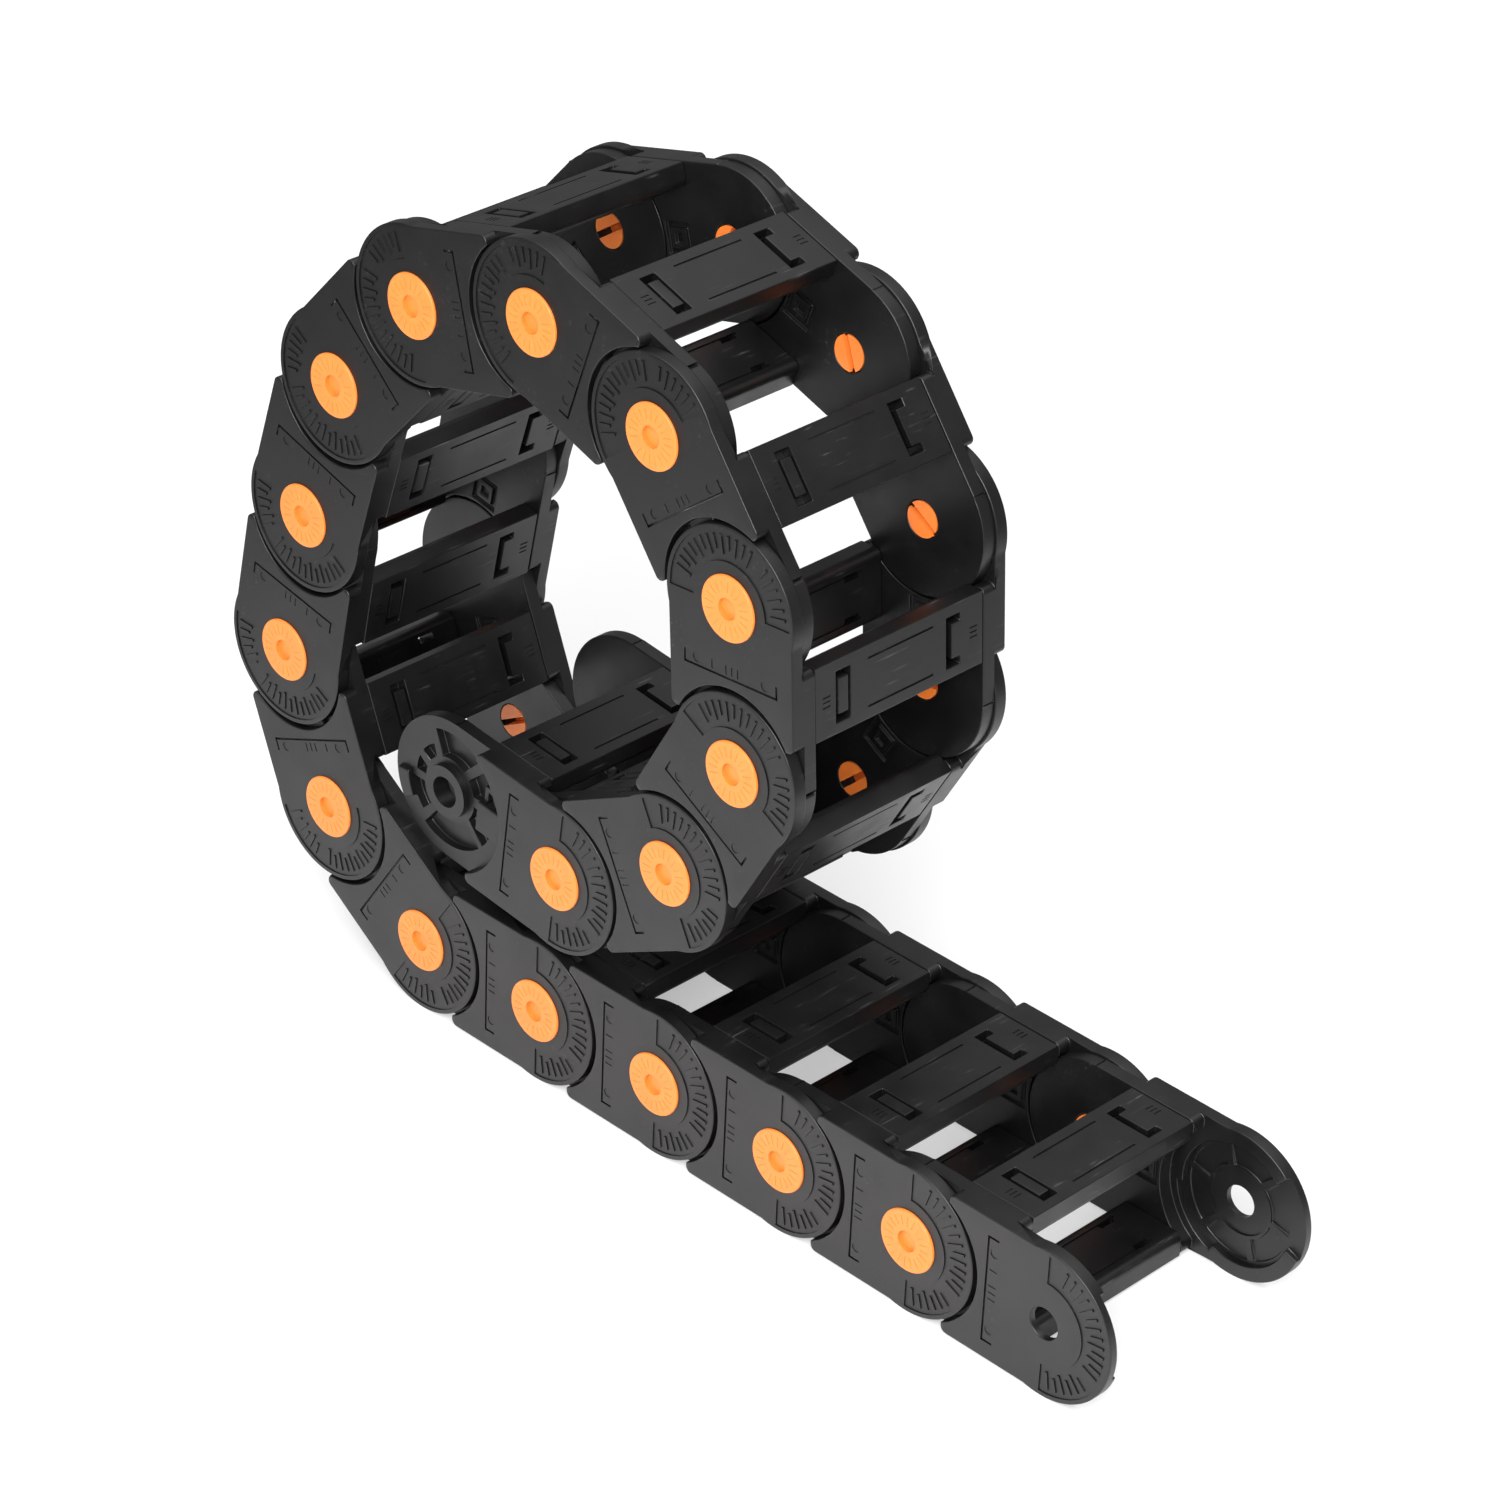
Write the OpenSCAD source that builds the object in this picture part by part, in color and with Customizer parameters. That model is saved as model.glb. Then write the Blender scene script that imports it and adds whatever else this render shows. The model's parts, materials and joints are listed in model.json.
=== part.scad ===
// Cable drag chain: moulded links of two side plates and two crossbars, hinged on snap pins.
// The chain lies flat for its first links, then curls up into a roll that rests on itself.
// Link frame: origin on the pivot of the lug disc, +X to the pivot of the lug cup, +Z to the
// inside of the bend, Y across the chain.

/* [Chain] */
// Distance between two pivots
pitch = 56.5; // [52:0.5:64]
// Clear width between the side plates
inner_width = 75; // [50:1:125]
// Bend between two links in the roll, half a degree short of the stop
roll_bend = 33.5; // [20:0.5:34]
// Play left at each end of a hinge's travel, in degrees
stop_play = 0.5; // [0.2:0.1:1]

/* [Side plate] */
// Thickness of the outer layer, which carries the lug cup
outer_layer = 5; // [4:0.25:6]
// Thickness of the inner layer, which carries the lug disc
inner_layer = 5; // [4:0.25:6]
// Height of a side plate
plate_h = 52.5; // [48:0.5:54]
// Radius of the lug cup
cup_r = 27; // [25:0.1:27.5]
// Radius of the lug disc
disc_r = 26.1; // [24:0.1:26.5]
// Gap between a round lug and the hollow end it turns in
end_gap = 0.8; // [0.5:0.1:1.2]
// Extra gap round the lug cup in the middle of the hollow end, against its tips
end_play = 1; // [0:0.1:1.5]
// Gap between layers that slide over each other
slide_gap = 0.15; // [0.1:0.05:0.3]
// Distance from a pivot to the tips of the hollow end
tip_x = 15.4; // [14:0.1:18]
// Rounding of the hollow end's tips
tip_r = 2.3; // [1:0.1:4]

/* [Lug cup and disc] */
// Thickness of the cup's floor under the ribs
cup_floor = 2.8; // [2.4:0.1:3.2]
// Depth of the shallow fields between the cup's ribs
field_depth = 0.8; // [0.3:0.1:1.2]
// Inner radius of the cup's rim
rim_r = 21.75; // [20:0.25:23]
// Width of the ribs
rib_w = 2.3; // [1.6:0.1:3]
// Outer radius of the hub ring on the disc
hub_r = 9.5; // [8:0.1:10.5]
// Height of the hub ring over the disc
hub_h = 2.5; // [1.5:0.1:2.6]
// Gap round the hub ring in its seat
hub_gap = 2.25; // [1:0.25:2.5]
// Thickness of the web behind the disc's pockets
disc_web = 2; // [1.5:0.1:3]

/* [Stops] */
// Reach of the stop tab above the pivot line
tab_high = 4.8; // [3.5:0.1:6]
// Reach of the stop tab below the pivot line
tab_low = 6.4; // [5:0.1:8]
// Distance from the pivot to the end of the stop tab
tab_reach = 15; // [14:0.25:18]
// Height of the angled rib over the stop tab
corner_high = 6.3; // [4:0.1:7]
// Width of the angled rib
corner_w = 1.8; // [1:0.1:2.5]
// Width of the second stop, in degrees
block_angle = 27.8; // [18:0.1:34]
// Inner radius of the second stop
block_r0 = 18.6; // [17:0.1:20]
// Outer radius of the second stop
block_r1 = 23.7; // [22:0.1:24]
// Gap over and round the stops
stop_gap = 0.3; // [0.2:0.05:0.5]

/* [Snap pin] */
// Radius of the pin's shank
pin_r = 5.5; // [4.5:0.1:6]
// Running clearance round the shank
pin_gap = 0.06; // [0.03:0.01:0.1]
// Radius of the pin's head
head_r = 11.05; // [9:0.05:13]
// Height of the head over the side plate
head_h = 0.9; // [0.6:0.1:1.5]
// Rounding of the head's edge
head_edge = 0.5; // [0.2:0.1:0.5]
// Radius of the dimple in the head
dimple_r = 3.7; // [2.5:0.1:4]
// Depth of the dimple
dimple_depth = 1.6; // [0.8:0.1:2.4]
// How far the snap lip stands out from the shank
lip_out = 0.7; // [0.4:0.1:1.2]
// Thickness of the snap lip
lip_t = 1.2; // [0.8:0.1:2]
// Width of the slot that splits the pin's end
split_w = 2.3; // [1.4:0.1:2.6]
// Depth of that slot
split_depth = 5.5; // [3:0.5:6]

/* [Crossbar] */
// Length of a crossbar along the chain
bar_w = 25.4; // [20:0.2:26]
// Thickness of a crossbar
bar_t = 8.75; // [7:0.25:10]
// Rounding of the crossbar's inner edges
bar_round = 3; // [1:0.5:4]
// Length of the tongue at each end of a crossbar
tongue_l = 3; // [2:0.25:4]
// Width of the tongue
tongue_w = 16; // [12:0.5:20]
// Thickness of the tongue
tongue_t = 4.6; // [3:0.2:6]
// Clearance round the tongue in its pocket
tongue_gap = 0.1; // [0.05:0.05:0.2]
// Step from the side plate's edge down to the crossbar's outer face
bar_step = 0.05; // [0.05:0.05:1]
// Gap between the crossbar's free end and the side plate
bar_gap = 0.3; // [0.1:0.05:0.5]
// Half width of the latch slots in the crossbar's outer face
latch_half = 8.8; // [7:0.2:10]
// Depth of the latch slots
latch_depth = 4; // [1:0.25:5]
// Width of the openings at both ends of a latch slot
latch_open = 2.7; // [2:0.1:3.5]
// Width of the thin slots along the latch tongue
latch_thin = 0.9; // [0.6:0.1:1.4]
// Width of the wide slot at the free end's latch
latch_wide = 2.3; // [1.6:0.1:3]
// Distance from the fixed end to its latch slots
fixed_latch = 9; // [6:0.5:14]
// Distance from the free end to its latch slots
free_latch = 10.7; // [6:0.5:14]
// Length of the latch slots along the crossbar
latch_len = 6.3; // [5:0.1:8]

/* [Window] */
// Distance from the lug disc's pivot to the middle of the window
window_x = 23.2; // [20:0.2:30]
// Side of the stepped window in the inner face of a side plate
window_side = 11; // [9:0.5:13]
// Depth of the window
window_depth = 1.2; // [0.5:0.1:2]
// Width of the window's frame
window_frame = 1.9; // [1:0.1:2.5]
// Side of the small square hollow in the window's middle
window_core = 3.6; // [2:0.2:5]

/* [Hidden] */
$fn = 96;
links = 17;
flat_joints = 4;
rest_bends = concat([for (i = [1:flat_joints]) 0], roll_bend * [1, 1, 1], [6, 25],
    [for (i = [1:7]) roll_bend]);

plate_t = outer_layer + inner_layer;
side_y = inner_width / 2;
end_middle = cup_r + end_gap + end_play;
end_shift = end_play / (1 - tip_x / (cup_r + end_gap));
seat_r = hub_r + hub_gap;
seat_floor = outer_layer - hub_h - stop_gap;
bore_r = pin_r + pin_gap;
bar_top = plate_h / 2 - bar_step;
bar_mid = bar_top - bar_t / 2;
travel = roll_bend + 2 * stop_play;
tab_start = -asin(tab_low / rim_r);
tab_end = asin(tab_high / rim_r);
block_start = 187.6;
cup_turn = -10;
cup_step = 60;
pin_turn = 109;
pin_first_turn = 150;
far_r = 2 * cup_r;

// Heading of each link, and the place of each pivot
function heading(k) = k < 2 ? 0 : heading(k - 1) + rest_bends[k - 2];
function pivot(k) = k < 1 ? [0, 0] : pivot(k - 1) + pitch * [-cos(heading(k)), sin(heading(k))];
pivots = [for (k = [0:links]) pivot(k)];
origin_x = (min([for (p = pivots) p[0]]) + max([for (p = pivots) p[0]])) / 2;
origin_z = min([for (p = pivots) p[1]]) - cup_r;

function two(k) = str(k < 10 ? "0" : "", k);
function plates_name(k) = str("link_", two(k), "_plates");
function bars_name(k) = str("link_", two(k), "_bars");
function pins_name(k) = str("joint_", two(k), "_pins");

// Places children in the frame of link k
module at_link(k)
    translate([pivots[k][0] - origin_x, 0, pivots[k][1] - origin_z])
        rotate([0, heading(k), 0])
            children();

// Children on both sides of the chain; they are drawn with y = 0 on the plate's outer face
module both_sides()
    for (side = [0, 1])
        mirror([0, side, 0])
            translate([0, -side_y - plate_t, 0])
                children();

// A flat shape in the link's XZ plane, from depth y0 to depth y1
module slab(y0, y1)
    translate([0, y1, 0])
        rotate([90, 0, 0])
            linear_extrude(y1 - y0)
                children();

// A stretch of a ring between two radii and two angles under 180 degrees apart
module ring_part(r0, r1, a0, a1)
    intersection() {
        difference() {
            circle(r1);
            circle(r0);
        }
        polygon(concat([[0, 0]], [for (i = [0:3])
            let (a = a0 + (a1 - a0) * i / 3) far_r * [cos(a), sin(a)]]));
    }

// The field between two ribs, so that the ribs keep their width
module rib_field(r0, r1, a0, a1)
    intersection() {
        difference() {
            circle(r1);
            circle(r0);
        }
        translate(rib_w / 2 / sin((a1 - a0) / 2) * [cos((a0 + a1) / 2), sin((a0 + a1) / 2)])
            polygon(concat([[0, 0]], [for (i = [0:2])
                let (a = a0 + (a1 - a0) * i / 2) far_r * [cos(a), sin(a)]]));
    }

// Strip of the plate from x0 to x1 with rounded corners
module strip(x0, x1)
    union() {
        translate([x0 + tip_r, -plate_h / 2])
            square([x1 - x0 - 2 * tip_r, plate_h]);
        translate([x0, -plate_h / 2 + tip_r])
            square([x1 - x0, plate_h - 2 * tip_r]);
        for (x = [x0 + tip_r, x1 - tip_r])
            for (z = [-1, 1] * (plate_h / 2 - tip_r))
                translate([x, z])
                    circle(tip_r);
    }

module outer_outline()
    difference() {
        union() {
            strip(tip_x, pitch);
            translate([pitch - cup_r / 2, -plate_h / 2])
                square([cup_r / 2, plate_h]);
            translate([pitch, 0])
                circle(cup_r);
        }
        translate([end_shift, 0])
            circle(end_middle - end_shift);
    }

module inner_outline()
    difference() {
        union() {
            strip(0, pitch - tip_x);
            circle(disc_r);
            translate([0, -plate_h / 2])
                square([cup_r / 2, plate_h]);
        }
        translate([pitch, 0])
            circle(disc_r + end_gap);
    }

// Hollow of the lug cup, round the pivot at x = pitch
module cup_hollow()
    translate([pitch, 0, 0]) {
        slab(cup_floor, outer_layer)
            circle(rim_r);
        slab(seat_floor, outer_layer)
            circle(seat_r);
        slab(cup_floor - field_depth, outer_layer)
            for (a = [cup_turn:cup_step:cup_turn + 360 - cup_step])
                rib_field(seat_r + rib_w / 2, rim_r - rib_w / 2, a, a + cup_step);
        // opening in the rim for the neighbour's stop tab
        slab(cup_floor, outer_layer)
            ring_part(seat_r, cup_r + 1, tab_start - stop_play, tab_end - stop_play + travel);
        // widening on the body side for the neighbour's second stop
        slab(cup_floor, outer_layer)
            ring_part(seat_r, block_r1 + stop_gap, block_start - stop_play,
                block_start - stop_play + block_angle + travel);
    }

// Blind pockets in the face of the lug disc
module disc_pockets()
    difference() {
        slab(outer_layer - slide_gap, plate_t - disc_web) {
            for (span = [[-40, 3], [10, 50], [54, 119], [239, 321]])
                rib_field(hub_r + rib_w, rim_r, span[0], span[1]);
            for (span = [[122, 156], [159, 188]])
                rib_field(hub_r + rib_w, block_r0 - rib_w, span[0], span[1]);
            rib_field(hub_r + rib_w, block_r0, 190, 236);
        }
        corner_rib();
    }

// Angled rib in the pocket over the stop tab: one leg stands on the tab, the other runs outwards
module corner_rib()
    slab(outer_layer, plate_t)
        translate([tab_reach + 1, tab_high])
            difference() {
                square([corner_high + corner_w, corner_high]);
                translate([corner_w, -corner_w])
                    square([corner_high + corner_w, corner_high]);
            }

// Stepped window in the inner face, between the pivots: a square frame round a small hollow
module window()
    translate([window_x, plate_t, 0]) {
        difference() {
            cube([window_side, 2 * window_depth, window_side], center = true);
            cube([window_side - 2 * window_frame, 3 * window_depth, window_side - 2 * window_frame],
                center = true);
        }
        cube([window_core, 2 * window_depth, window_core], center = true);
    }

module tongue_pockets()
    for (z = [-1, 1] * bar_mid)
        translate([pitch / 2, plate_t, z])
            cube([tongue_w + 2 * tongue_gap, 2 * (tongue_l + tongue_gap), tongue_t + 2 * tongue_gap],
                center = true);

module side_plate()
    difference() {
        union() {
            slab(0, outer_layer - slide_gap)
                outer_outline();
            slab(outer_layer, plate_t)
                inner_outline();
            slab(outer_layer / 2, plate_t - inner_layer / 2)
                intersection() {
                    outer_outline();
                    inner_outline();
                }
            // stop tab on the hollow end, for the neighbour's cup
            slab(cup_floor + stop_gap, outer_layer - slide_gap)
                translate([tab_reach, -tab_low])
                    square([end_middle + 1 - tab_reach, tab_low + tab_high]);
            // second stop on the lug disc
            slab(cup_floor + stop_gap, outer_layer + 1)
                ring_part(block_r0, block_r1, block_start, block_start + block_angle);
            slab(outer_layer - hub_h, outer_layer + 1)
                circle(hub_r);
        }
        cup_hollow();
        disc_pockets();
        window();
        tongue_pockets();
        // pin bores through the hub and the cup, with the seat of the snap lip
        for (x = [0, pitch])
            translate([x, -1, 0])
                rotate([-90, 0, 0])
                    cylinder(r = bore_r, h = plate_t + 2);
        translate([0, plate_t - lip_t - stop_gap, 0])
            rotate([-90, 0, 0])
                cylinder(r = pin_r + lip_out + stop_gap, h = lip_t + 1);
    }

// Snap pin, drawn with y = 0 on the plate's outer face and its split end turned by an angle
module snap_pin(turn)
    difference() {
        rotate([-90, 0, 0])
            rotate_extrude()
                difference() {
                    union() {
                        translate([0, -head_h])
                            square([head_r - head_edge, head_h]);
                        translate([0, -head_h + head_edge])
                            square([head_r, head_h - head_edge]);
                        translate([head_r - head_edge, -head_h + head_edge])
                            circle(head_edge);
                        square([pin_r, plate_t]);
                        translate([0, plate_t - lip_t])
                            square([pin_r + lip_out, lip_t]);
                    }
                    translate([-far_r, -far_r])
                        square([far_r, 2 * far_r]);
                    translate([0, -head_h - 1])
                        square([dimple_r, dimple_depth + 1]);
                    // the rounding's lower half stays above the plate
                    translate([head_r - 2 * head_edge, 0])
                        square([2 * head_edge, head_edge]);
                }
        rotate([0, turn, 0])
            translate([-2 * pin_r, plate_t - split_depth, -split_w / 2])
                cube([4 * pin_r, split_depth + 1, split_w]);
    }

// Crossbar on the bend-inside of the link, with its outer face up and its free end at +Y
module crossbar()
    difference() {
        union() {
            slab(-side_y, side_y - bar_gap)
                bar_section();
            for (side = [-1, 1])
                translate([pitch / 2, side * side_y, bar_mid])
                    cube([tongue_w, 2 * tongue_l, tongue_t], center = true);
        }
        fixed_latch_slots();
        free_latch_slots();
    }

module bar_section()
    translate([pitch / 2, bar_top])
        union() {
            translate([-bar_w / 2, -bar_t + bar_round])
                square([bar_w, bar_t - bar_round]);
            translate([-bar_w / 2 + bar_round, -bar_t])
                square([bar_w - 2 * bar_round, bar_t]);
            for (side = [-1, 1])
                translate([side * (bar_w / 2 - bar_round), -bar_t + bar_round])
                    circle(bar_round);
        }

// Slot in the bar's outer face: from x0 to x1 about its middle, from y0 to y1
module face_slot(x0, x1, y0, y1)
    translate([pitch / 2 + x0, y0, bar_top - latch_depth])
        cube([x1 - x0, y1 - y0, latch_depth + 1]);

// Openings at both ends of a latch slot, from y0 to y1
module latch_openings(y0, y1)
    for (x = [-latch_half, latch_half - latch_open])
        face_slot(x, x + latch_open, y0, y1);

// Slots all round the latch tongue at the fixed end
module fixed_latch_slots() {
    y0 = -side_y + fixed_latch;
    y1 = y0 + latch_len;
    for (y = [y0, y1 - latch_thin])
        face_slot(-latch_half, latch_half, y, y + latch_thin);
    latch_openings(y0, y1);
}

// Slots on three sides of the latch tongue at the free end
module free_latch_slots() {
    y1 = side_y - free_latch;
    y0 = y1 - latch_len;
    face_slot(-latch_half, latch_half, y0, y0 + latch_wide);
    latch_openings(y0, y1);
}

module link_plates(k)
    color("dimgray")
        at_link(k)
            both_sides()
                side_plate();

module link_bars(k)
    color("gray")
        at_link(k)
            for (side = [0, 1])
                mirror([0, 0, side])
                    crossbar();

// The pins of joint k sit in the cups of link k + 1
module joint_pins(k)
    color("sandybrown")
        at_link(k + 1)
            both_sides()
                translate([pitch, 0, 0])
                    snap_pin(pin_first_turn + pin_turn * k);

for (k = [1:links])
    link_plates(k);
for (k = [1:links])
    link_bars(k);
for (k = [1:links - 1])
    joint_pins(k);
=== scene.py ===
import json
import math

import bpy
from mathutils import Matrix, Vector

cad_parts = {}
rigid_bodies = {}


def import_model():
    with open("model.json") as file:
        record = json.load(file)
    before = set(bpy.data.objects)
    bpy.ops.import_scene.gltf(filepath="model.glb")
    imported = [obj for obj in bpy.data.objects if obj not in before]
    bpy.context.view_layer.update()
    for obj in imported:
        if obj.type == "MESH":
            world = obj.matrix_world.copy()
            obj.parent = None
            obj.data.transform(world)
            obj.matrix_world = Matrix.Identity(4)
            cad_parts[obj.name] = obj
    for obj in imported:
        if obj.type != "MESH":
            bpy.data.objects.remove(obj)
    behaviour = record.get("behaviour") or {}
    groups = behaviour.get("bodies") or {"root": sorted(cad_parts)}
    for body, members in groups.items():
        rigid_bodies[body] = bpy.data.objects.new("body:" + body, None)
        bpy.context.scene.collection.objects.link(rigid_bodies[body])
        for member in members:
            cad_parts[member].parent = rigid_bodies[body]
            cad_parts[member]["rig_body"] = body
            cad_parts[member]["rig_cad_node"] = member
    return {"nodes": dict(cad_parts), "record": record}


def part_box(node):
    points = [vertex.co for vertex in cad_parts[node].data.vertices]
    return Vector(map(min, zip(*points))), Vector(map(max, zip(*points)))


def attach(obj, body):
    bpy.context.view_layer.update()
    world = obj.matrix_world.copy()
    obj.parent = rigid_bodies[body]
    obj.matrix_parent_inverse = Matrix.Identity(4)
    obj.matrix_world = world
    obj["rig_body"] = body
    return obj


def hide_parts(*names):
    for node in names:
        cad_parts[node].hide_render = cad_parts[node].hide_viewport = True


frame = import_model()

mm = 0.001
weldGap = 0.003 * mm  # points closer than this are merged after the cuts
cadWeldGap = 0.001 * mm
planeGap = 0.01 * mm  # how close to a plane an edge counts as in it
sharpAngle = math.radians(38)
flatAngle = math.radians(0.4)
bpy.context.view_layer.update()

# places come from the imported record: all pivots, from the cup end's bores to the disc end's
joints = frame["record"]["behaviour"]["joints"]
mounts = {mount["name"]: Vector(mount["pos_m"]) for mount in frame["record"]["mounts"]}
pivots = ([mounts["cup_end_bores"]] + [Vector(joint["pos_m"]) for joint in joints]
          + [mounts["disc_end_bores"]])
linkCount = len(pivots) - 1
cupPivot, discPivot = pivots[0], pivots[1]  # of the first link, which lies flat
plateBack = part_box("link_01_plates")[1].y  # outer face of the far side plate
barLow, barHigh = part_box("link_01_bars")
print("places read for", linkCount, "links")


# frame of link k against the first link's
def linkPlace(k):
    step = pivots[k] - pivots[k - 1]
    return (Matrix.Translation(pivots[k]) @ Matrix.Rotation(math.atan2(step.z, -step.x), 4, "Y")
            @ Matrix.Translation(-discPivot))


def clearPick():
    if bpy.context.object and bpy.context.object.mode != "OBJECT":
        bpy.ops.object.mode_set(mode="OBJECT")
    bpy.ops.object.select_all(action="DESELECT")


def pick(*pieces):
    clearPick()
    for piece in pieces:
        piece.select_set(True)
    bpy.context.view_layer.objects.active = pieces[0]


def editAll(piece):
    pick(piece)
    bpy.ops.object.mode_set(mode="EDIT")
    bpy.ops.mesh.select_mode(type="VERT")
    bpy.ops.mesh.select_all(action="SELECT")


# puts a piece's place into its mesh
def settle(piece, name):
    pick(piece)
    bpy.ops.object.transform_apply(location=True, rotation=True, scale=True)
    piece.name = name
    return piece


def join(pieces, name):
    pick(*pieces)
    if len(pieces) > 1:
        bpy.ops.object.join()
    bpy.context.object.name = name
    return bpy.context.object


# a plain block between two corners, turned about Y round a pivot when asked
def block(low, high, pivot=(0, 0, 0), angle=0):
    clearPick()
    bpy.ops.mesh.primitive_cube_add(size=1, location=[(a + b) / 2 for a, b in zip(low, high)])
    piece = bpy.context.object
    piece.scale = [b - a for a, b in zip(low, high)]
    piece = settle(piece, "block")
    piece.rotation_euler = (0, -angle, 0)
    piece.location = pivot
    return settle(piece, "block")


def cutWith(piece, cutter):
    pick(piece)
    cut = piece.modifiers.new("cut", "BOOLEAN")
    cut.operation = "DIFFERENCE"
    cut.solver = "EXACT"
    cut.use_self = True
    cut.object = cutter
    bpy.ops.object.modifier_apply(modifier=cut.name)
    bpy.data.objects.remove(cutter, do_unlink=True)


# rounds the sharp edges that lie in the given planes; a plane is (axis, place)
def softenEdges(piece, planes, width, segments):
    pick(piece)
    bpy.ops.object.mode_set(mode="EDIT")
    bpy.ops.mesh.select_mode(type="EDGE")
    bpy.ops.mesh.select_all(action="DESELECT")
    bpy.ops.mesh.edges_select_sharp(sharpness=sharpAngle)
    bpy.ops.object.mode_set(mode="OBJECT")
    points = piece.data.vertices
    for edge in piece.data.edges:
        if edge.select:
            ends = [points[v].co for v in edge.vertices]
            edge.select = any(all(abs(end[axis] - place) < planeGap for end in ends)
                              for axis, place in planes)
    bpy.ops.object.mode_set(mode="EDIT")
    bpy.ops.mesh.bevel(offset=width, segments=segments, affect="EDGES", clamp_overlap=False)
    bpy.ops.object.mode_set(mode="OBJECT")


# cleans the cuts, splits the many-sided faces and keeps flat faces flat under smooth shading
def finishMesh(piece, smoothAngle):
    editAll(piece)
    bpy.ops.mesh.remove_doubles(threshold=weldGap)
    bpy.ops.mesh.dissolve_degenerate(threshold=weldGap)
    bpy.ops.mesh.select_all(action="SELECT")
    bpy.ops.mesh.quads_convert_to_tris(quad_method="BEAUTY", ngon_method="BEAUTY")
    pick(piece)
    bpy.ops.object.shade_smooth_by_angle(angle=math.radians(smoothAngle))
    flat = piece.modifiers.new("flatFaces", "WEIGHTED_NORMAL")
    flat.weight = 100
    flat.keep_sharp = True
    bpy.ops.object.modifier_apply(modifier=flat.name)


# a welded copy of a CAD node with its flat faces whole again
def cadCopy(node, name):
    piece = frame["nodes"][node].copy()
    piece.data = frame["nodes"][node].data.copy()
    piece.name = name
    piece.parent = None
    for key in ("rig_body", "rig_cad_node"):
        if key in piece:
            del piece[key]
    bpy.context.scene.collection.objects.link(piece)
    piece.data.materials.clear()
    pick(piece)
    bpy.ops.mesh.customdata_custom_splitnormals_clear()
    editAll(piece)
    bpy.ops.mesh.remove_doubles(threshold=cadWeldGap)
    bpy.ops.mesh.select_all(action="SELECT")
    bpy.ops.mesh.dissolve_limited(angle_limit=flatAngle)
    clearPick()
    return piece


def linear(hexColour):
    parts = [int(hexColour[i:i + 2], 16) / 255 for i in (1, 3, 5)]
    return [c / 12.92 if c <= 0.04045 else ((c + 0.055) / 1.055) ** 2.4 for c in parts] + [1]


def newMaterial(name):
    material = bpy.data.materials.new(name)
    material.use_nodes = True
    material.node_tree.nodes.clear()
    return material


# adds one node to a tree; an input is a value or another node's output
def addNode(tree, kind, inputs=None, **settings):
    node = tree.nodes.new(kind)
    for key, value in settings.items():
        setattr(node, key, value)
    for key, value in (inputs or {}).items():
        if isinstance(value, bpy.types.NodeSocket):
            tree.links.new(value, node.inputs[key])
        else:
            node.inputs[key].default_value = value
    return node


nylon = {
    "colour": "#070708",
    "paler": "#0e0e0f",
    "scuff": "#57575a",
    "grain": 0.35 * mm,  # the mould's eroded grain
    "cloud": 14 * mm,
    "scratch": 1.1 * mm,
    "scratchStretch": 0.06,  # a scratch's frequency along itself against across
    "scratchFrom": 0.62,  # noise values between which a scratch shows
    "scratchTo": 0.72,
    "patchFrom": 0.5,  # the same for the patches that have scratches
    "patchTo": 0.68,
    "roughness": 0.4,
    "cloudFrom": 0.3,
    "cloudTo": 0.7,
    "smoother": 0.05,  # what the clouds take off the roughness and add to it
    "rougher": 0.07,
    "reliefStrength": 0.12,
    "reliefDepth": 0.05 * mm,
    "refraction": 1.53,
}


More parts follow.
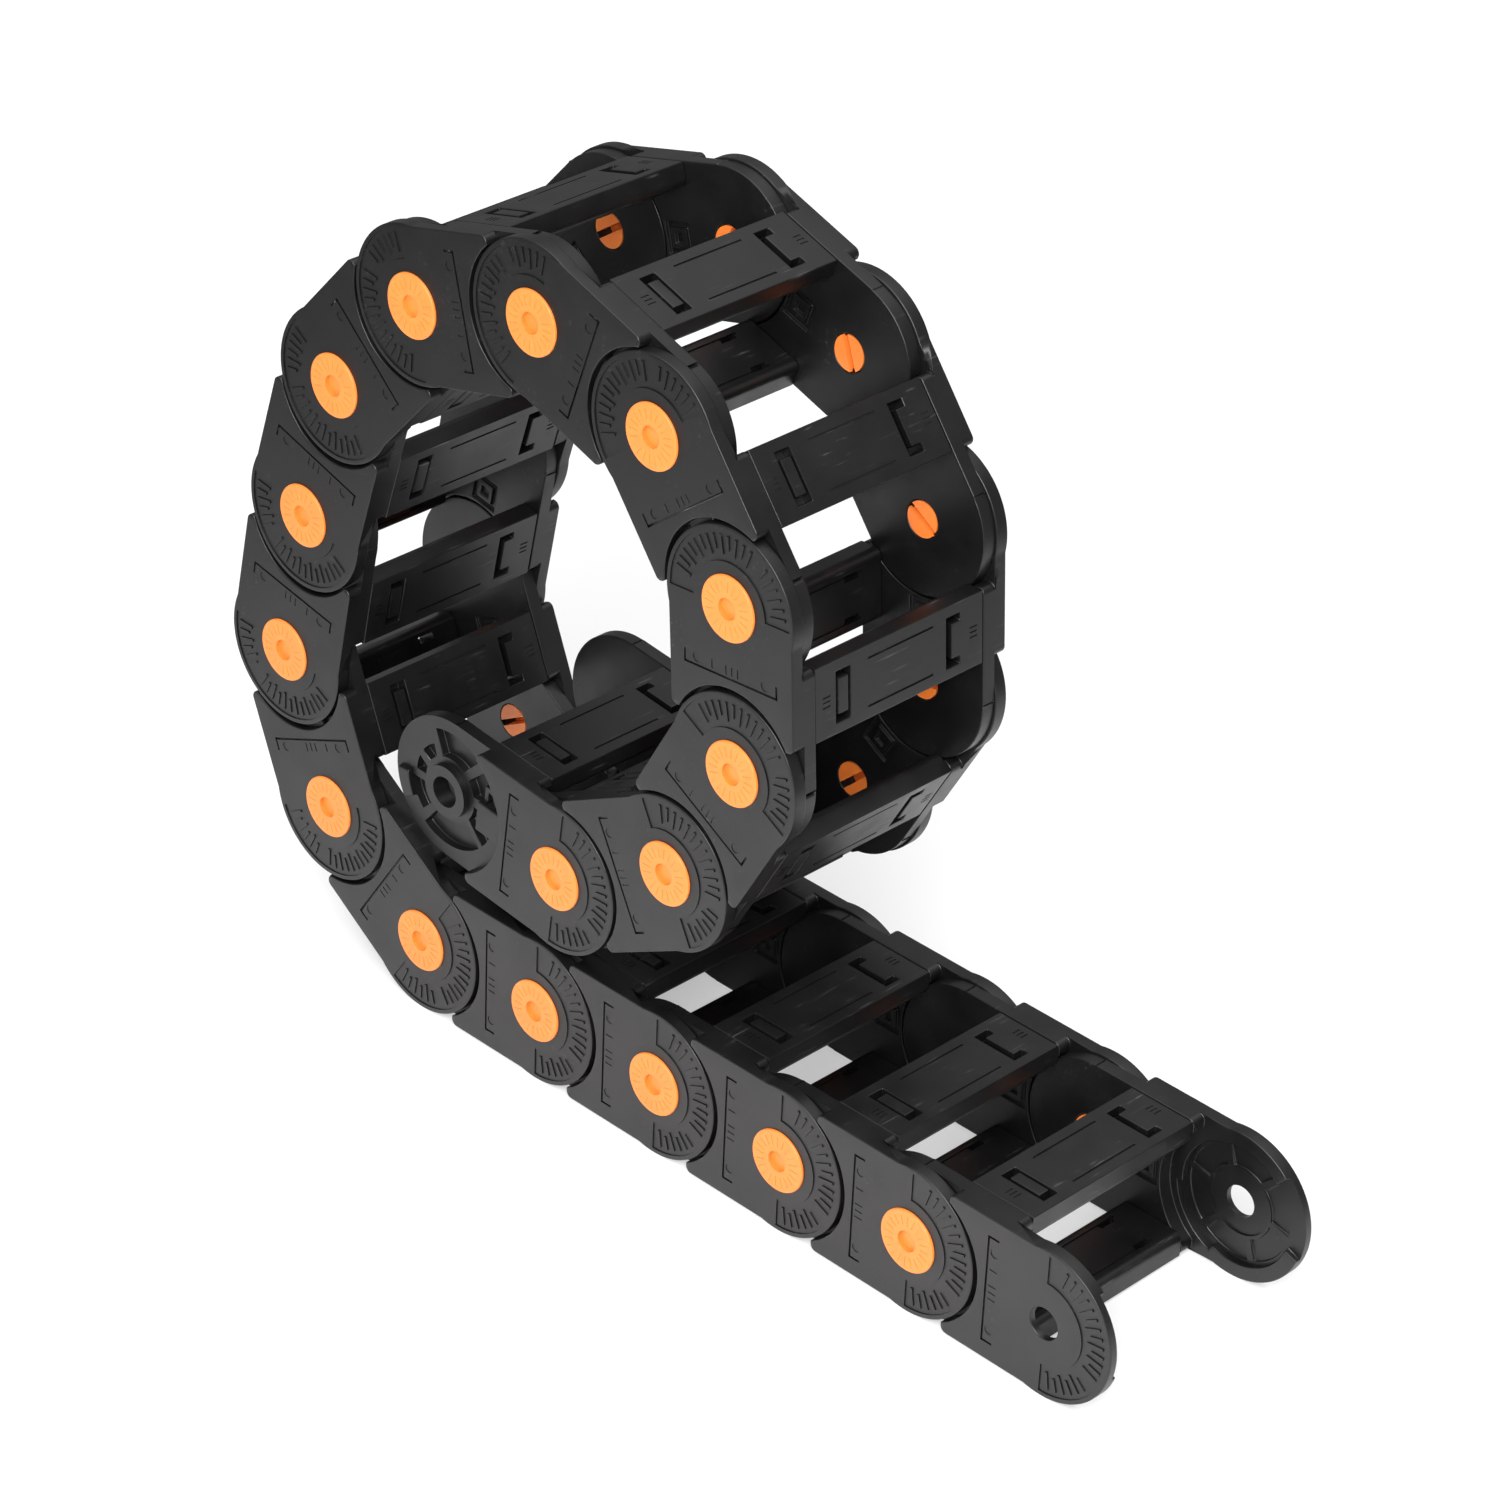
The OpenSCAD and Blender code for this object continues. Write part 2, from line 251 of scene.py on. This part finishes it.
# glass-filled nylon 6, injection moulded: near black, a satin skin with fine grain and light scuffs
def mouldedNylon(name, scuffAmount, scratchTurn):
    material = newMaterial(name)
    tree = material.node_tree
    place = addNode(tree, "ShaderNodeTexCoord").outputs["Object"]
    cloud = addNode(tree, "ShaderNodeTexNoise",
                    {"Vector": place, "Scale": 1 / nylon["cloud"], "Detail": 5}).outputs["Fac"]
    grain = addNode(tree, "ShaderNodeTexNoise",
                    {"Vector": place, "Scale": 1 / nylon["grain"], "Detail": 2}).outputs["Fac"]
    turned = addNode(tree, "ShaderNodeMapping", {"Vector": place, "Rotation": (0, 0, scratchTurn),
                     "Scale": (1, nylon["scratchStretch"], 1)}).outputs["Vector"]
    scratch = addNode(tree, "ShaderNodeTexNoise",
                      {"Vector": turned, "Scale": 1 / nylon["scratch"], "Detail": 3}).outputs["Fac"]
    lines = addNode(tree, "ShaderNodeMapRange",
                    {"Value": scratch, "From Min": nylon["scratchFrom"],
                     "From Max": nylon["scratchTo"]}).outputs["Result"]
    patches = addNode(tree, "ShaderNodeMapRange",
                      {"Value": cloud, "From Min": nylon["patchFrom"],
                       "From Max": nylon["patchTo"], "To Max": scuffAmount}).outputs["Result"]
    scuffs = addNode(tree, "ShaderNodeMath", {0: lines, 1: patches}, operation="MULTIPLY").outputs[0]
    body = addNode(tree, "ShaderNodeMix", {"Factor": cloud, "A": linear(nylon["colour"]),
                   "B": linear(nylon["paler"])}, data_type="RGBA").outputs["Result"]
    worn = addNode(tree, "ShaderNodeMix", {"Factor": scuffs, "A": body,
                   "B": linear(nylon["scuff"])}, data_type="RGBA").outputs["Result"]
    gloss = addNode(tree, "ShaderNodeMapRange",
                    {"Value": cloud, "From Min": nylon["cloudFrom"], "From Max": nylon["cloudTo"],
                     "To Min": nylon["roughness"] - nylon["smoother"],
                     "To Max": nylon["roughness"] + nylon["rougher"]}).outputs["Result"]
    relief = addNode(tree, "ShaderNodeBump", {"Height": grain, "Strength": nylon["reliefStrength"],
                     "Distance": nylon["reliefDepth"]}).outputs["Normal"]
    shader = addNode(tree, "ShaderNodeBsdfPrincipled", {"Base Color": worn, "Roughness": gloss,
                     "Normal": relief, "IOR": nylon["refraction"]}).outputs["BSDF"]
    addNode(tree, "ShaderNodeOutputMaterial", {"Surface": shader})
    return material


acetal = {
    "colour": "#f98638",
    "deeper": "#f27c30",
    "roughness": 0.38,
    "cloud": 5 * mm,
    "reliefStrength": 0.1,
    "reliefDepth": 0.1 * mm,
    "refraction": 1.48,
    "scatter": 0.1,  # share of the light that scatters under the skin
    "scatterDepth": (1.2 * mm, 0.6 * mm, 0.3 * mm),
}


# orange acetal, injection moulded: an even, slightly waxy colour and a smooth skin
def mouldedAcetal(name):
    material = newMaterial(name)
    tree = material.node_tree
    place = addNode(tree, "ShaderNodeTexCoord").outputs["Object"]
    cloud = addNode(tree, "ShaderNodeTexNoise",
                    {"Vector": place, "Scale": 1 / acetal["cloud"], "Detail": 3}).outputs["Fac"]
    body = addNode(tree, "ShaderNodeMix", {"Factor": cloud, "A": linear(acetal["colour"]),
                   "B": linear(acetal["deeper"])}, data_type="RGBA").outputs["Result"]
    relief = addNode(tree, "ShaderNodeBump", {"Height": cloud, "Strength": acetal["reliefStrength"],
                     "Distance": acetal["reliefDepth"]}).outputs["Normal"]
    shader = addNode(tree, "ShaderNodeBsdfPrincipled", {"Base Color": body, "Normal": relief,
                     "Roughness": acetal["roughness"], "IOR": acetal["refraction"],
                     "Subsurface Weight": acetal["scatter"],
                     "Subsurface Radius": acetal["scatterDepth"],
                     "Subsurface Scale": 1.0}).outputs["BSDF"]
    addNode(tree, "ShaderNodeOutputMaterial", {"Surface": shader})
    return material


plateNylon = mouldedNylon("blackNylonPlate", scuffAmount=0.35, scratchTurn=0.3)
barNylon = mouldedNylon("blackNylonBar", scuffAmount=0.8, scratchTurn=1.2)
pinAcetal = mouldedAcetal("orangeAcetal")
print("materials made")

plateMarks = {
    "thickness": 10 * mm,
    "edge": 0.4 * mm,  # rounding of the edges of both faces
    "edgeSteps": 2,
    "smoothAngle": 50,
    "bandInner": 15.2 * mm,
    "bandOuter": 25.4 * mm,
    "bandDepth": 0.4 * mm,
    "bandSides": 128,
    "tickFrom": 17.4 * mm,
    "tickTo": 23.8 * mm,
    "tickShort": 1.6 * mm,  # what every second tick lacks at its inner end
    "tickWidth": 0.9 * mm,
    "tickStep": 8,
    "tickSpans": ((-24, 78), (-82, -40)),  # degrees round the pivot
    "lineAt": 32 * mm,  # from the lug disc's pivot
    "lineHalf": 20 * mm,
    "lineWidth": 0.8 * mm,
    "lineDepth": 0.5 * mm,
    "foot": 4.6 * mm,
    "dotAt": (14.4 * mm, -14.8 * mm),
    "dotRadius": 1.7 * mm,
    "dotSides": 32,
    "dashAt": (7.5 * mm, 1.5 * mm, -1 * mm, -3.5 * mm),
    "dashWidth": 0.6 * mm,
    "dashLength": 3 * mm,
    "dashDepth": 0.2 * mm,
}


# half a flat ring round the cup's pivot, for the shallow band in the near outer face
def bandCutter(m):
    clearPick()
    bpy.ops.mesh.primitive_circle_add(vertices=m["bandSides"], radius=m["bandOuter"], fill_type="NGON",
                                      location=(cupPivot.x, -plateBack - m["bandDepth"], cupPivot.z),
                                      rotation=(math.radians(90), 0, 0))
    ring = settle(bpy.context.object, "band")
    editAll(ring)
    bpy.ops.mesh.inset(thickness=m["bandOuter"] - m["bandInner"])
    bpy.ops.mesh.delete(type="FACE")
    bpy.ops.mesh.select_all(action="SELECT")
    bpy.ops.mesh.bisect(plane_co=cupPivot, plane_no=(1, 0, 0), clear_inner=True)
    bpy.ops.mesh.select_all(action="SELECT")
    bpy.ops.mesh.extrude_region_move(TRANSFORM_OT_translate={"value": (0, 2 * m["bandDepth"], 0)})
    bpy.ops.mesh.select_all(action="SELECT")
    bpy.ops.mesh.normals_make_consistent(inside=False)
    ticks = []  # they reach past both faces of the ring, which leaves them raised in the plate
    for low, high in m["tickSpans"]:
        for i, angle in enumerate(range(low, high + 1, m["tickStep"])):
            start = m["tickFrom"] + (i % 2) * m["tickShort"]
            ticks.append(block((start, -3 * m["bandDepth"], -m["tickWidth"] / 2),
                               (m["tickTo"], 3 * m["bandDepth"], m["tickWidth"] / 2),
                               (cupPivot.x, -plateBack, cupPivot.z), math.radians(angle)))
    cutWith(ring, join(ticks, "ticks"))
    return ring


def plateCutter(m):
    x = discPivot.x + m["lineAt"]
    z = discPivot.z
    near, deep = -plateBack - m["lineDepth"], -plateBack + m["lineDepth"]
    parts = [block((x, near, z - m["lineHalf"]), (x + m["lineWidth"], deep, z + m["lineHalf"]))]
    for low in (z - m["lineHalf"], z + m["lineHalf"] - m["lineWidth"]):
        parts.append(block((x + m["lineWidth"] / 2, near, low), (x + m["foot"], deep,
                           low + m["lineWidth"])))
    x += m["foot"] / 2 + m["lineWidth"]
    near, deep = -plateBack - m["dashDepth"], -plateBack + m["dashDepth"]
    for dash in m["dashAt"]:
        parts.append(block((x - m["dashLength"] / 2, near, z + dash),
                           (x + m["dashLength"] / 2, deep, z + dash + m["dashWidth"])))
    for dot in m["dotAt"]:
        clearPick()
        bpy.ops.mesh.primitive_cylinder_add(vertices=m["dotSides"], radius=m["dotRadius"],
                                            depth=deep - near,
                                            location=(x, -plateBack, z + dot),
                                            rotation=(math.radians(90), 0, 0))
        parts.append(settle(bpy.context.object, "dot"))
    return join([bandCutter(m)] + parts, "plateCutter")


# the piece and its mirror image on the other side of the chain, as one
def withMirror(piece):
    pick(piece)
    bpy.ops.object.duplicate()
    other = bpy.context.object
    other.scale.y = -1
    other = settle(other, "otherSide")
    editAll(other)
    bpy.ops.mesh.flip_normals()
    return join([piece, other], "bothSides")


def makePlates():
    piece = cadCopy("link_01_plates", "platePattern")
    faces = [(1, side * (plateBack - depth)) for side in (-1, 1)
             for depth in (0, plateMarks["thickness"])]
    softenEdges(piece, faces, plateMarks["edge"], plateMarks["edgeSteps"])
    cutWith(piece, withMirror(plateCutter(plateMarks)))
    finishMesh(piece, plateMarks["smoothAngle"])
    piece.data.materials.append(plateNylon)
    print("side plates modelled:", len(piece.data.polygons), "faces")
    return piece


barMarks = {
    "thickness": 8.75 * mm,
    "grooveAt": 8.25 * mm,  # half the distance between the long grooves of a face
    "grooveHalf": 14.5 * mm,
    "innerHalf": 28 * mm,  # the same on the inner face, which has a cross groove too
    "grooveWidth": 0.8 * mm,
    "grooveDepth": 0.5 * mm,
    "openingFrom": 20.5 * mm,  # the openings beside the free latch go right through
    "openingTo": 26.8 * mm,
    "openingIn": 6.3 * mm,
    "openingOut": 8.6 * mm,
    "throughShare": 0.6,  # of the thickness, cut each way from its middle
    "dashFrom": 3.2 * mm,  # from a bar's end to its row of dashes
    "dashTo": 6.4 * mm,
    "dashStep": 1.7 * mm,
    "dashWidth": 0.6 * mm,
    "dashDepth": 0.3 * mm,
    "tongue": 3 * mm,  # how far a bar's end goes into the side plate
    "edge": 0.4 * mm,
    "edgeSteps": 2,
    "smoothAngle": 40,
}


def barCutter(m):
    middle = (cupPivot.x + discPivot.x) / 2
    end = barHigh.y - m["tongue"]
    parts = []

    # x is measured from the bar's middle, and z is the face that the cut goes into
    def cut(x0, x1, y0, y1, z, depth):
        parts.append(block((middle + min(x0, x1), min(y0, y1), z - depth),
                           (middle + max(x0, x1), max(y0, y1), z + depth)))

    half = m["grooveWidth"] / 2
    for outer, inward in ((barLow.z, 1), (barHigh.z, -1)):
        inner = outer + inward * m["thickness"]
        for side in (-1, 1):
            groove = side * m["grooveAt"]
            for reach, face in ((m["grooveHalf"], outer), (m["innerHalf"], inner)):
                cut(groove - half, groove + half, -reach, reach, face, m["grooveDepth"])
            cut(side * m["openingIn"], side * m["openingOut"], m["openingFrom"], m["openingTo"],
                (inner + outer) / 2, m["throughShare"] * m["thickness"])
            for i in (-1, 0, 1):
                dash = i * m["dashStep"]
                cut(dash - m["dashWidth"] / 2, dash + m["dashWidth"] / 2, side * (end - m["dashFrom"]),
                    side * (end - m["dashTo"]), outer, m["dashDepth"])
        cut(-m["grooveAt"], m["grooveAt"], -half, half, inner, m["grooveDepth"])
    return join(parts, "barCutter")


def makeBars():
    piece = cadCopy("link_01_bars", "barPattern")
    softenEdges(piece, [(2, barLow.z), (2, barHigh.z)], barMarks["edge"], barMarks["edgeSteps"])
    cutWith(piece, barCutter(barMarks))
    finishMesh(piece, barMarks["smoothAngle"])
    piece.data.materials.append(barNylon)
    print("crossbars modelled:", len(piece.data.polygons), "faces")
    return piece


capMarks = {
    "tickFrom": 5.8 * mm,
    "tickTo": 9.2 * mm,
    "tickWidth": 0.4 * mm,
    "tickDepth": 0.15 * mm,
    "tickCount": 20,
    "capHeight": 0.9 * mm,
    "smoothAngle": 28,
}


# fine ticks round the dimple of a cap whose pivot is at the origin
def capCutter(m):
    ticks = []
    for i in range(m["tickCount"]):
        ticks.append(block((m["tickFrom"], -m["tickDepth"], -m["tickWidth"] / 2),
                           (m["tickTo"], m["tickDepth"], m["tickWidth"] / 2),
                           (0, -plateBack - m["capHeight"], 0), 2 * math.pi * i / m["tickCount"]))
    return withMirror(join(ticks, "capTicks"))


# the split ends of the pins are turned differently in each joint, so each pair has its own copy
def makePins(k, cutter):
    piece = cadCopy(f"joint_{k:02d}_pins", f"snapPins{k:02d}")
    pick(cutter)
    bpy.ops.object.duplicate()
    ticks = bpy.context.object
    ticks.location = pivots[k]
    cutWith(piece, settle(ticks, "capTicks"))
    finishMesh(piece, capMarks["smoothAngle"])
    piece.data.materials.append(pinAcetal)
    return piece


def dress(piece, body, node):
    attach(piece, body)
    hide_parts(node)


def copyTo(pattern, name, place):
    piece = pattern.copy()
    piece.data = pattern.data.copy()
    piece.name = name
    piece.data.name = name
    bpy.context.scene.collection.objects.link(piece)
    piece.data.transform(place)
    return piece


platePattern = makePlates()
barPattern = makeBars()
capTicks = capCutter(capMarks)
for k in range(1, linkCount + 1):
    body = f"link_{k:02d}"
    dress(copyTo(platePattern, f"sidePlates{k:02d}", linkPlace(k)), body, body + "_plates")
    dress(copyTo(barPattern, f"crossbars{k:02d}", linkPlace(k)), body, body + "_bars")
    if k < linkCount:
        dress(makePins(k, capTicks), f"link_{k + 1:02d}", f"joint_{k:02d}_pins")
for pattern in (platePattern, barPattern, capTicks):
    bpy.data.objects.remove(pattern, do_unlink=True)
print("all links and pins made")

studio = {
    "white": (1, 1, 1, 1),
    "floorColour": "#f6f6f6",
    "floorSeen": "#c0c0c0",  # the same for the camera, with the glow below
    "floorSize": 3,
    "fadeFrom": 0.15,  # painted shade: what the glossy plates see of the floor darkens with distance, standing in for its light falling off
    "fadeTo": 0.7,
    "fadeLeast": 0.15,
    "glow": 0.42,  # what the camera sees on top, so that the soft shadows stay light
    "skyLow": 0.26,  # brightness of the sky round the part and overhead
    "skyHigh": 2.2,
    "skyFrom": 0.7,  # heights between which it changes, as the sine of the elevation
    "skyTo": 0.9,
    "aim": (0, 0, 0.1),
    "lamps": (  # name, place, size and power
        ("frontLamp", (0.9, -1.3, 1.25), 1.2, 60),
        ("leftLamp", (-1.2, -0.9, 1.7), 1.2, 2),
    ),
}


def makeFloor():
    clearPick()
    bpy.ops.mesh.primitive_plane_add(size=studio["floorSize"], location=(0, 0, 0))
    floor = settle(bpy.context.object, "floor")
    material = newMaterial("whiteFloor")
    tree = material.node_tree
    place = addNode(tree, "ShaderNodeTexCoord").outputs["Object"]
    away = addNode(tree, "ShaderNodeVectorMath", {0: place}, operation="LENGTH").outputs["Value"]
    # painted shade in the reflections: for glossy rays only, the floor's colour darkens towards black
    # with distance from the part
    fade = addNode(tree, "ShaderNodeMapRange",
                   {"Value": away, "From Min": studio["fadeFrom"], "From Max": studio["fadeTo"],
                    "To Max": 1 - studio["fadeLeast"]}).outputs["Result"]
    lightPath = addNode(tree, "ShaderNodeLightPath")
    glossy, seen = lightPath.outputs["Is Glossy Ray"], lightPath.outputs["Is Camera Ray"]
    share = addNode(tree, "ShaderNodeMath", {0: fade, 1: glossy}, operation="MULTIPLY").outputs[0]
    floorWithPaintedFalloff = addNode(tree, "ShaderNodeMix", {"Factor": share, "A": linear(studio["floorColour"]),
                    "B": (0, 0, 0, 1)}, data_type="RGBA").outputs["Result"]
    colour = addNode(tree, "ShaderNodeMix", {"Factor": seen, "A": floorWithPaintedFalloff,
                     "B": linear(studio["floorSeen"])}, data_type="RGBA").outputs["Result"]
    paint = addNode(tree, "ShaderNodeBsdfDiffuse", {"Color": colour}).outputs["BSDF"]
    glow = addNode(tree, "ShaderNodeMath", {0: seen, 1: studio["glow"]}, operation="MULTIPLY").outputs[0]
    extra = addNode(tree, "ShaderNodeEmission", {"Color": studio["white"],
                    "Strength": glow}).outputs["Emission"]
    both = addNode(tree, "ShaderNodeAddShader", {0: paint, 1: extra}).outputs["Shader"]
    addNode(tree, "ShaderNodeOutputMaterial", {"Surface": both})
    floor.data.materials.append(material)


# a light tent: dim round the part, bright overhead, and white where the camera sees it
def makeWorld():
    world = bpy.data.worlds.new("studio")
    world.use_nodes = True
    bpy.context.scene.world = world
    tree = world.node_tree
    tree.nodes.clear()
    place = addNode(tree, "ShaderNodeTexCoord").outputs["Generated"]
    height = addNode(tree, "ShaderNodeSeparateXYZ", {"Vector": place}).outputs["Z"]
    light = addNode(tree, "ShaderNodeMapRange",
                    {"Value": height, "From Min": studio["skyFrom"], "From Max": studio["skyTo"],
                     "To Min": studio["skyLow"], "To Max": studio["skyHigh"]}).outputs["Result"]
    seen = addNode(tree, "ShaderNodeLightPath").outputs["Is Camera Ray"]
    strength = addNode(tree, "ShaderNodeMath", {0: seen, 1: light}, operation="MAXIMUM").outputs[0]
    sky = addNode(tree, "ShaderNodeBackground", {"Color": studio["white"], "Strength": strength})
    addNode(tree, "ShaderNodeOutputWorld", {"Surface": sky.outputs["Background"]})


def makeLamp(name, place, size, power):
    lamp = bpy.data.lights.new(name, "AREA")
    lamp.shape = "SQUARE"
    lamp.size = size
    lamp.energy = power
    holder = bpy.data.objects.new(name, lamp)
    bpy.context.scene.collection.objects.link(holder)
    holder.location = place
    aim = Vector(studio["aim"]) - Vector(place)
    holder.rotation_euler = aim.to_track_quat("-Z", "Y").to_euler()


cameraSet = {
    "place": (0.9181, -0.9676, 0.9377),
    "azimuth": math.radians(43.588),
    "elevation": math.radians(31.155),
    "roll": math.radians(2.573),
    "focal": 117.112,
    "sensor": 36,
}


def makeCamera(m):
    azimuth, elevation, roll = m["azimuth"], m["elevation"], m["roll"]
    back = Vector((math.sin(azimuth) * math.cos(elevation), -math.cos(azimuth) * math.cos(elevation),
                   math.sin(elevation)))
    level = Vector((math.cos(azimuth), math.sin(azimuth), 0))
    upright = back.cross(level)
    right = math.cos(roll) * level + math.sin(roll) * upright
    up = math.cos(roll) * upright - math.sin(roll) * level
    camera = bpy.data.cameras.new("camera")
    camera.sensor_width = m["sensor"]
    camera.lens = m["focal"]
    holder = bpy.data.objects.new("camera", camera)
    bpy.context.scene.collection.objects.link(holder)
    turn = Matrix((right, up, back)).transposed()
    holder.matrix_world = Matrix.Translation(m["place"]) @ turn.to_4x4()
    bpy.context.scene.camera = holder


makeFloor()
makeWorld()
for lampSet in studio["lamps"]:
    makeLamp(*lampSet)
makeCamera(cameraSet)
bpy.context.scene.view_settings.view_transform = "Standard"
print("studio set")
